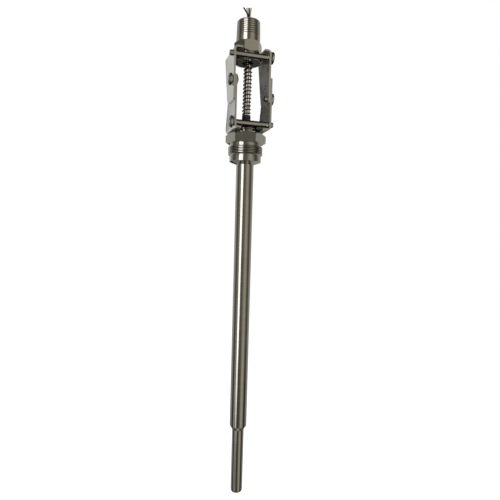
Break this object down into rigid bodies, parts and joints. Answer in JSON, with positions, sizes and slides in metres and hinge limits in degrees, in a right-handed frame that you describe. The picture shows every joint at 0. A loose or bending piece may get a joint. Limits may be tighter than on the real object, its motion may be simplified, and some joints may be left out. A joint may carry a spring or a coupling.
{
  "type": "rtd probe",
  "caption": "Spring-loaded resistance temperature probe in a stepped, threaded thermowell, held by a pinned sheet-metal yoke under a hex nipple with a taper thread and short lead wires.",
  "frame": {"origin": "centre of the process thread at its upper end, under the well's hex", "axes": "+Z along the well's axis towards the lead wires, -Y to the front where the yoke's slots and cross pins are, +X to the right seen from the front"},
  "size_m": [0.0415, 0.038, 0.4495],
  "materials": {
    "well_steel": "turned",
    "yoke_sheet": "satin",
    "pin_steel": "satin",
    "nipple_steel": "turned",
    "spring_steel": "bright wire",
    "collar_dark": "dark oxide",
    "sheath_steel": "drawn",
    "element_ceramic": "fired ceramic",
    "powder_white": "packed powder",
    "conductor_metal": "drawn wire",
    "seal_resin": "potting resin",
    "lead_black": "smooth sleeve",
    "lead_grey": "smooth sleeve",
    "lead_brown": "smooth sleeve",
    "lead_tan": "smooth sleeve"
  },
  "bodies": {
    "well": {"thermowell": "well_steel"},
    "yoke": {"lower_bracket": "yoke_sheet", "upper_bracket": "yoke_sheet", "lower_cross_pin": "pin_steel", "upper_cross_pin": "pin_steel", "left_side_pin": "pin_steel", "right_side_pin": "pin_steel", "left_pin_ring": "pin_steel"},
    "nipple": {"connection_nipple": "nipple_steel", "compression_spring": "spring_steel"},
    "insert": {"stop_collar": "collar_dark", "probe_sheath": "sheath_steel", "sheath_stop_ring": "sheath_steel", "platinum_element": "element_ceramic", "mineral_insulation": "powder_white", "element_conductors": "conductor_metal", "lead_seal": "seal_resin", "lead_black": "lead_black", "lead_grey": "lead_grey", "lead_brown": "lead_brown", "lead_tan": "lead_tan"}
  },
  "joints": [
    {"name": "yoke_swivel", "type": "hinge", "parent": "well", "child": "yoke", "pos_m": [0, 0, 0.01385], "axis": [0, 0, 1], "continuous": true},
    {"name": "nipple_swivel", "type": "hinge", "parent": "yoke", "child": "nipple", "pos_m": [0, 0, 0.08115], "axis": [0, 0, 1], "continuous": true},
    {"name": "insert_slide", "type": "slide", "parent": "nipple", "child": "insert", "axis": [0, 0, 1], "range_m": [0, 0.008], "stiffness_N_per_m": 150, "springref_m": -0.016, "deforming": ["compression_spring"]}
  ]
}
